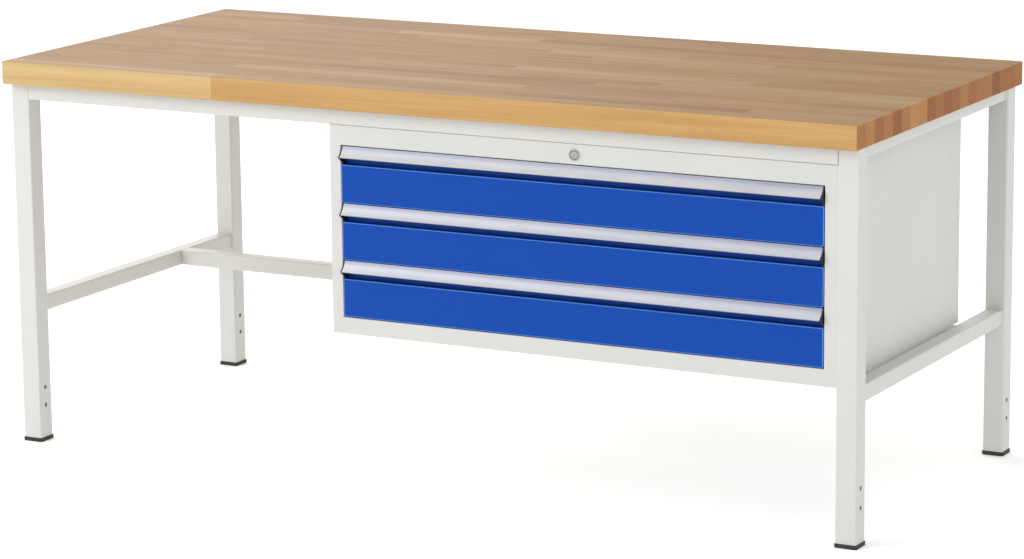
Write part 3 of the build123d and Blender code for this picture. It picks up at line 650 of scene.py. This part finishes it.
def make_right_wall():
    """The right wall; its skirt hangs below the cabinet's floor, behind the side rail."""
    lo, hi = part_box("cabinet_side_right")
    skirt_y0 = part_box("lower_side_rails")[0].y + SKIRT_ROOM
    skirt_y1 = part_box("stretcher")[0].y - SKIRT_ROOM
    outline = [
        (lo.y, hi.z), (lo.y, lo.z), (skirt_y0, lo.z), (skirt_y0, lo.z - SKIRT_DROP),
        (skirt_y1, lo.z - SKIRT_DROP), (skirt_y1, lo.z), (hi.y, lo.z), (hi.y, hi.z),
    ]
    bm = bmesh.new()
    face = bm.faces.new([bm.verts.new((lo.x, y, z)) for y, z in outline])
    grown = bmesh.ops.extrude_face_region(bm, geom=[face])
    moved = [v for v in grown["geom"] if isinstance(v, bmesh.types.BMVert)]
    bmesh.ops.translate(bm, vec=(hi.x - lo.x, 0, 0), verts=moved)
    bmesh.ops.bevel(bm, geom=bm.edges[:], offset=WALL_EDGE_R, segments=2, profile=0.5, affect="EDGES")
    bmesh.ops.recalc_face_normals(bm, faces=bm.faces)
    obj = weighted(smooth_piece(bm, "cabinet_right_wall", "cabinet_paint"))
    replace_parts(obj, "cabinet_side_right")


make_right_wall()

# ---------------------------------------------------------------- lock
ROSETTE_STEPS = 64
THREAD_PITCH = 1.0 * MM
THREAD_DEPTH = 0.35 * MM
THREAD_END = 0.6 * MM
BORE_ROOM = 0.05 * MM
PLUG_EDGE_R = 0.3 * MM
# Shares of the rosette's radius.
BARREL_SHARE, DISH_SHARE, COLLAR_SHARE = 0.75, 0.82, 0.62
# Shares of how far the rosette stands out.
RIM_ROUND, DISH_EDGE, DISH_DEPTH, COLLAR_SINK, BORE_SINK = 0.45, 0.95, 0.75, 0.1, 0.2
RIM_STEPS, DISH_STEPS = 4, 8


def rosette_outline(rim, bore, front, back, proud, thread_from):
    """Pairs of radius and distance out from the fascia, from the barrel's inner end round to its bore."""
    barrel = rim * BARREL_SHARE
    line = [(bore, front - back), (barrel - THREAD_END, front - back)]
    y = back - THREAD_END
    while y > thread_from:
        line.append((barrel - THREAD_DEPTH, front - y))
        line.append((barrel, front - y + THREAD_PITCH / 2))
        y -= THREAD_PITCH
    line += [(barrel, 0.0), (rim, 0.0)]
    for step in range(RIM_STEPS + 1):
        turn = step / RIM_STEPS * QUARTER
        out = proud * (1 - RIM_ROUND + RIM_ROUND * math.sin(turn))
        line.append((rim - RIM_ROUND * proud * (1 - math.cos(turn)), out))
    dish, collar = rim * DISH_SHARE, rim * COLLAR_SHARE
    for step in range(DISH_STEPS + 1):
        t = step / DISH_STEPS
        out = proud * (DISH_EDGE - DISH_DEPTH * math.sin(math.pi * t) - COLLAR_SINK * t)
        line.append((dish + (collar - dish) * t, out))
    line.append((bore, proud * (1 - BORE_SINK)))
    return line


def make_lock_rosette():
    """The turned lock barrel: a rounded rim, a dish and a collar round the plug, a threaded body."""
    lo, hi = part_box("lock_housing")
    plug_lo, plug_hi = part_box("lock_plug")
    x, z = (lo.x + hi.x) / 2, (lo.z + hi.z) / 2
    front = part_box("cabinet_fascia")[0].y
    bore = (plug_hi.x - plug_lo.x) / 2 + BORE_ROOM
    line = rosette_outline((hi.x - lo.x) / 2, bore, front, hi.y, front - lo.y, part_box("lock_nut")[0].y)
    rings = []
    for step in range(ROSETTE_STEPS):
        turn = step / ROSETTE_STEPS * 2 * math.pi
        rings.append([(x + r * math.cos(turn), front - out, z + r * math.sin(turn)) for r, out in line])
    obj = smooth_piece(loft(rings), "lock_rosette", "lock_chrome", sharp=30.0)
    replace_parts(obj, "lock_housing")


make_lock_rosette()
softened("lock_plug", PLUG_EDGE_R)

# ---------------------------------------------------------------- weld beads
BEAD_R = 1.9 * MM
BEAD_STEP = 0.5 * MM
BEAD_FLAT = 0.95
BEAD_SIDES = 5
RIPPLE = 2.4 * MM
RIPPLE_SHARE = 0.10
BURIED = 0.4 * MM


def weld_bead(name, corners, closed, into):
    """A rippled fillet weld along a rail's outline, in the angle that the rail makes with a leg.

    corners go round the outline in order, and into points from the rail to the leg."""
    into = Vector(into)
    corners = [Vector(c) for c in corners]
    ends = corners[1:] + corners[:1] if closed else corners[1:]
    middle = sum(corners, Vector()) / len(corners)
    path = []
    for a, b in zip(corners, ends):
        out = (b - a).normalized().cross(into)
        if out.dot((a + b) / 2 - middle) < 0:
            out.negate()
        count = max(2, round((b - a).length / BEAD_STEP))
        for i in range(count + (0 if closed else 1)):
            path.append((a + (b - a) * (i / count), out))
    length, last, rings = 0.0, path[0][0], []
    for point, out in path:
        length += (point - last).length
        last = point
        size = BEAD_R * (1.0 + RIPPLE_SHARE * abs(math.sin(math.pi * length / RIPPLE)))
        ring = [point - out * BURIED + into * BURIED]
        for step in range(BEAD_SIDES + 1):
            turn = step / BEAD_SIDES * QUARTER
            ring.append(point + out * size * math.cos(turn) * BEAD_FLAT - into * size * math.sin(turn))
        rings.append(ring)
    smooth_piece(loft(rings, closed), name, "frame_paint", sharp=50.0)


def weld_corner(row, side_name, end, side):
    """The beads on one leg. end is -1 at the front and side is -1 on the left."""
    leg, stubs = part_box(f"leg_{row}_{side_name}"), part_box("rail_stubs")
    lower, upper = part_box("lower_side_rails"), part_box("upper_side_rails")
    outer = upper[0].x if side < 0 else upper[1].x
    leg_outer, leg_inner = (leg[0].x, leg[1].x) if side < 0 else (leg[1].x, leg[0].x)
    inner = leg_inner + leg_outer - outer
    y = leg[1].y if end < 0 else leg[0].y
    z0, z1 = lower[0].z, lower[1].z
    corners = [(outer, y, z0), (outer, y, z1), (inner, y, z1), (inner, y, z0)]
    weld_bead(f"weld_lower_{row}_{side_name}", corners, True, (0, end, 0))
    z0, z1 = upper[0].z, upper[1].z
    corners = [(outer, y, z1), (outer, y, z0), (inner, y, z0), (inner, y, z1)]
    weld_bead(f"weld_upper_{row}_{side_name}", corners, False, (0, end, 0))
    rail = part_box("front_rail")
    flush = stubs[0].y if end < 0 else stubs[1].y
    hidden = flush - end * (rail[1].y - rail[0].y)
    z0, z1 = stubs[0].z, stubs[1].z
    corners = [(leg_inner, flush, z0), (leg_inner, hidden, z0), (leg_inner, hidden, z1)]
    weld_bead(f"weld_stub_{row}_{side_name}", corners, False, (side, 0, 0))


# Flush faces have no bead.
for side, side_name in ((-1, "left"), (1, "right")):
    for end, row in ((-1, "front"), (1, "rear")):
        weld_corner(row, side_name, end, side)

# ---------------------------------------------------------------- floor
FLOOR_HALF = 30.0
FLOOR_DROP = 0.5 * MM
FLOOR_GLOW = 0.14
FLOOR_GREYS = (0.95, 0.95, 0.95, 1.0), (0.97, 0.97, 0.97, 1.0)


def make_floor():
    """A plain pale floor that rides on the front left foot, so that the bench rises as it extends."""
    mesh = bpy.data.meshes.new("floor")
    corners = [(-FLOOR_HALF, -FLOOR_HALF), (FLOOR_HALF, -FLOOR_HALF), (FLOOR_HALF, FLOOR_HALF),
               (-FLOOR_HALF, FLOOR_HALF)]
    mesh.from_pydata([(x, y, 0) for x, y in corners], [], [(0, 1, 2, 3)])
    n = Nodes("floor_white")
    n.set(
        Base_Color=n.mix(n.noise(n.coords(), 0.6, 2.0), *FLOOR_GREYS), Roughness=0.8,
        Specular_IOR_Level=0.1, Emission_Color=WHITE, Emission_Strength=FLOOR_GLOW,
    )
    mesh.materials.append(n.material)
    floor = bpy.data.objects.new("floor", mesh)
    scene.collection.objects.link(floor)
    floor.location.z = -FLOOR_DROP
    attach(floor, "foot_front_left")


make_floor()
